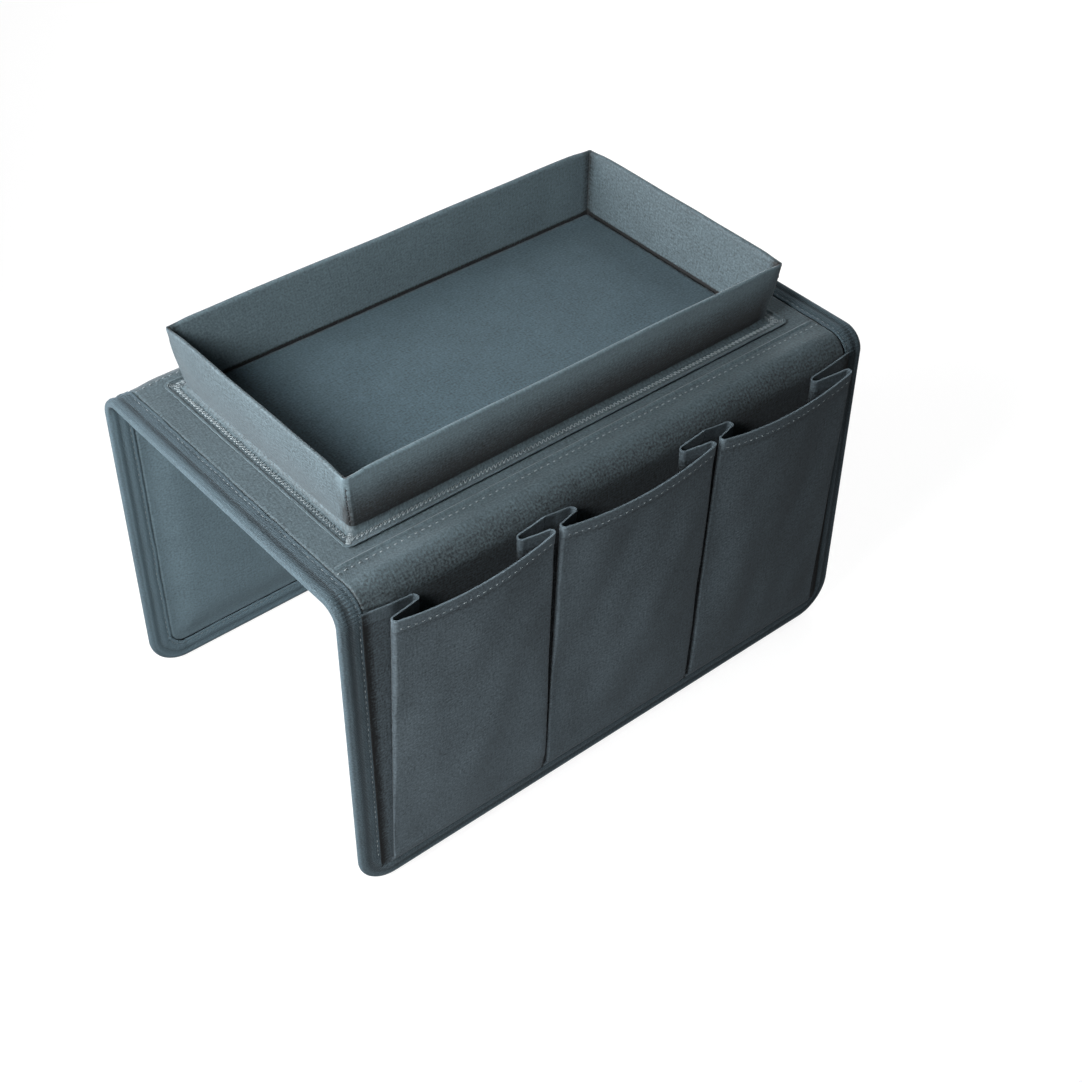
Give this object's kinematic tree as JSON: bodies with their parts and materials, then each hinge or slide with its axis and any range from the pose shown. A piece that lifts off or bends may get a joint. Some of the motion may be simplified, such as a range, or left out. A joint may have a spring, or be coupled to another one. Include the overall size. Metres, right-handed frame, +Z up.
{
  "type": "sofa armrest organizer",
  "caption": "Cloth organizer that lies over a sofa arm, with an open tray on top and a hanging flap on each side, one carrying pleated pockets.",
  "frame": {"origin": "middle of the top panel's underside, where the organizer sits on the armrest", "axes": "+X along the armrest, +Z up, -Y towards the flap with the pockets"},
  "size_m": [0.31, 0.2033, 0.215],
  "materials": {
    "cover_cloth": "fine plain weave, coated, soft sheen",
    "lining_cloth": "fine plain weave, matt",
    "binding_tape": "ribbed woven tape, folded over the edge",
    "board": "stiff grey board, hidden inside"
  },
  "bodies": {
    "top": {"top_cover": "cover_cloth", "front_fold_cover": "cover_cloth", "rear_fold_cover": "cover_cloth", "tray_wall_cover": "cover_cloth", "tray_flange": "cover_cloth", "tray_floor_cover": "cover_cloth", "top_lining": "lining_cloth", "front_fold_lining": "lining_cloth", "rear_fold_lining": "lining_cloth", "top_left_binding": "binding_tape", "top_right_binding": "binding_tape", "front_fold_left_binding": "binding_tape", "front_fold_right_binding": "binding_tape", "rear_fold_left_binding": "binding_tape", "rear_fold_right_binding": "binding_tape", "top_board": "board", "tray_front_wall_board": "board", "tray_rear_wall_board": "board", "tray_left_wall_board": "board", "tray_right_wall_board": "board", "tray_floor_board": "board"},
    "front_flap": {"front_flap_cover": "cover_cloth", "front_flap_board": "board", "front_flap_lining": "lining_cloth", "front_flap_binding": "binding_tape", "pocket_1": "cover_cloth", "pocket_2": "cover_cloth", "pocket_3": "cover_cloth"},
    "rear_flap": {"rear_flap_cover": "cover_cloth", "rear_flap_board": "board", "rear_flap_lining": "lining_cloth", "rear_flap_binding": "binding_tape"}
  },
  "joints": [
    {"name": "front_flap_hinge", "type": "hinge", "parent": "top", "child": "front_flap", "pos_m": [0, -0.09295, 0.002], "axis": [1, 0, 0], "range_deg": [-90, 28], "deforming": ["front_fold_cover", "front_fold_lining", "front_fold_left_binding", "front_fold_right_binding"]},
    {"name": "rear_flap_hinge", "type": "hinge", "parent": "top", "child": "rear_flap", "pos_m": [0, 0.09295, 0.002], "axis": [-1, 0, 0], "range_deg": [-90, 28], "deforming": ["rear_fold_cover", "rear_fold_lining", "rear_fold_left_binding", "rear_fold_right_binding"]}
  ]
}
